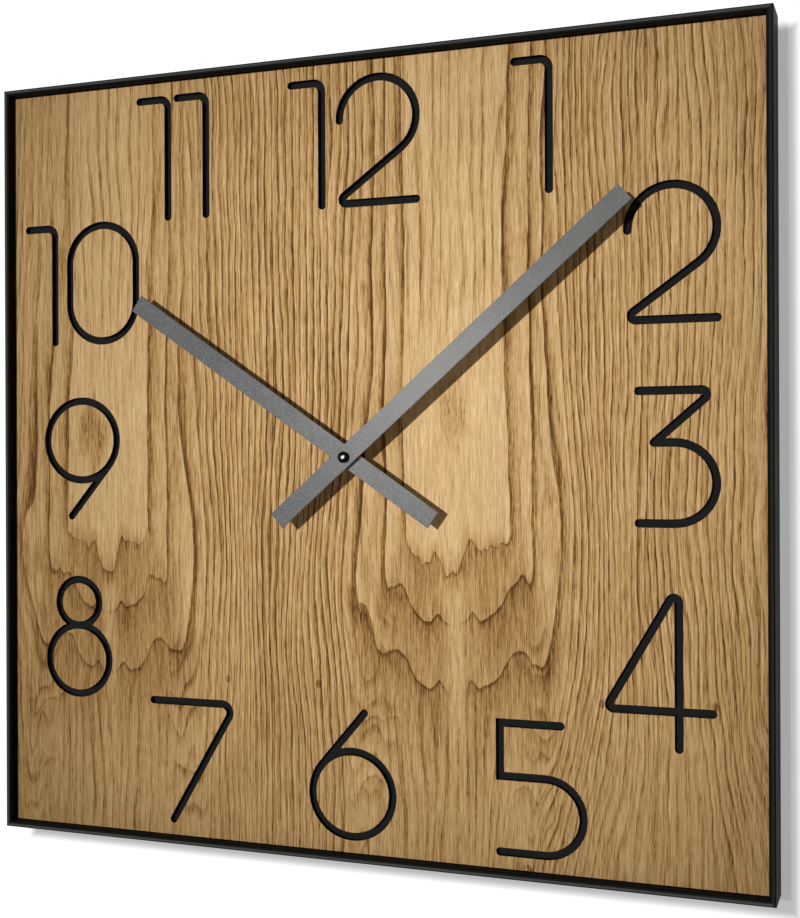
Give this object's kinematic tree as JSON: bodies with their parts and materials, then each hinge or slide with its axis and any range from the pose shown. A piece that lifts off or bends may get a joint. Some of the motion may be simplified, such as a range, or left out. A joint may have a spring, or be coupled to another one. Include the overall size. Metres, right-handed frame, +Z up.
{
  "type": "wall clock",
  "caption": "Square wall clock with a recessed oak dial, numerals cut through it, a black mitred frame, bar hands and a quartz movement with its gear train behind.",
  "frame": {"origin": "the axis of the hands on the plane of the wall that the frame's back edges touch", "axes": "+X to the viewer's right, +Y into the wall, +Z up"},
  "size_m": [0.5, 0.0427, 0.5],
  "materials": {
    "frame_black": "black powder coat, satin",
    "oak": "clear matt lacquer, vertical grain",
    "board_black": "black dyed board, matt",
    "hand_grey": "grey anodised, matt",
    "nut_black": "gloss black",
    "steel": "zinc plated",
    "brass": "turned",
    "gear_plastic": "natural acetal",
    "case_plastic": "fine moulded texture",
    "plate_plastic": "natural",
    "silicon_steel": "stamped sheet",
    "magnet": "sintered",
    "copper": "enamelled wire",
    "circuit_green": "solder mask",
    "epoxy": "cast",
    "tin": "tin plated",
    "cell_jacket": "printed film, plain",
    "gasket_rubber": "matt"
  },
  "bodies": {
    "case": {"backing_board": "board_black", "brace_screws": "steel", "chip_blob": "epoxy", "circuit_board": "circuit_green", "coil_bobbin": "plate_plastic", "coil_core": "silicon_steel", "coil_winding": "copper", "corner_brace_bottom_left": "steel", "corner_brace_bottom_right": "steel", "corner_brace_top_left": "steel", "corner_brace_top_right": "steel", "dial_panel": "oak", "dial_washer": "nut_black", "frame_bottom": "frame_black", "frame_left": "frame_black", "frame_right": "frame_black", "frame_top": "frame_black", "hanger_plate": "steel", "hanger_screws": "steel", "hex_nut": "nut_black", "island_eight_lower": "oak", "island_eight_upper": "oak", "island_four": "oak", "island_nine": "oak", "island_six": "oak", "island_zero": "oak", "movement_housing": "case_plastic", "movement_screws": "steel", "negative_contact": "tin", "panel_screws": "steel", "positive_contact": "tin", "quartz_crystal": "tin", "rear_cover": "case_plastic", "rubber_gasket": "gasket_rubber", "stator": "silicon_steel", "threaded_bushing": "brass", "train_plate": "plate_plastic"},
    "hour": {"hour_hand": "hand_grey", "hour_collet": "brass", "hour_wheel": "gear_plastic"},
    "minute": {"minute_hand": "hand_grey", "minute_collet": "brass", "minute_arbor": "brass", "cap_nut": "nut_black"},
    "motion_gear": {"motion_wheel": "gear_plastic", "setting_knob": "case_plastic"},
    "seconds_gear": {"seconds_wheel": "gear_plastic"},
    "third_gear": {"third_wheel": "gear_plastic"},
    "centre_gear": {"centre_wheel": "gear_plastic"},
    "intermediate_gear": {"intermediate_wheel": "gear_plastic"},
    "rotor": {"rotor_pinion": "gear_plastic", "rotor_magnet": "magnet"},
    "cell": {"battery": "cell_jacket"}
  },
  "joints": [
    {"name": "minute_spin", "type": "hinge", "parent": "case", "child": "minute", "pos_m": [0, -0.02, 0], "axis": [0, 1, 0], "continuous": true},
    {"name": "hour_spin", "type": "hinge", "parent": "case", "child": "hour", "pos_m": [0, -0.02, 0], "axis": [0, 1, 0], "continuous": true},
    {"name": "motion_spin", "type": "hinge", "parent": "case", "child": "motion_gear", "pos_m": [0.00695, -0.02, -0.00253], "axis": [0, 1, 0], "continuous": true},
    {"name": "seconds_spin", "type": "hinge", "parent": "case", "child": "seconds_gear", "pos_m": [0, -0.02, 0], "axis": [0, 1, 0], "continuous": true},
    {"name": "third_spin", "type": "hinge", "parent": "case", "child": "third_gear", "pos_m": [-0.00585, -0.02, 0.00337], "axis": [0, 1, 0], "continuous": true},
    {"name": "centre_spin", "type": "hinge", "parent": "case", "child": "centre_gear", "pos_m": [0, -0.02, 0], "axis": [0, 1, 0], "continuous": true},
    {"name": "intermediate_spin", "type": "hinge", "parent": "case", "child": "intermediate_gear", "pos_m": [0.0035, -0.02, 0.00606], "axis": [0, 1, 0], "continuous": true},
    {"name": "rotor_spin", "type": "hinge", "parent": "case", "child": "rotor", "pos_m": [0.01008, -0.02, 0.00846], "axis": [0, 1, 0], "continuous": true},
    {"name": "battery_slide", "type": "slide", "parent": "case", "child": "cell", "axis": [0, 1, 0], "range_m": [0, 0.03]}
  ],
  "couplings": [
    {"joint": "hour_spin", "follows": "minute_spin", "ratio": 0.083333},
    {"joint": "motion_spin", "follows": "minute_spin", "ratio": -0.33333},
    {"joint": "third_spin", "follows": "seconds_spin", "ratio": -0.13333},
    {"joint": "centre_spin", "follows": "seconds_spin", "ratio": 0.016667},
    {"joint": "intermediate_spin", "follows": "seconds_spin", "ratio": -5},
    {"joint": "rotor_spin", "follows": "seconds_spin", "ratio": 30}
  ]
}
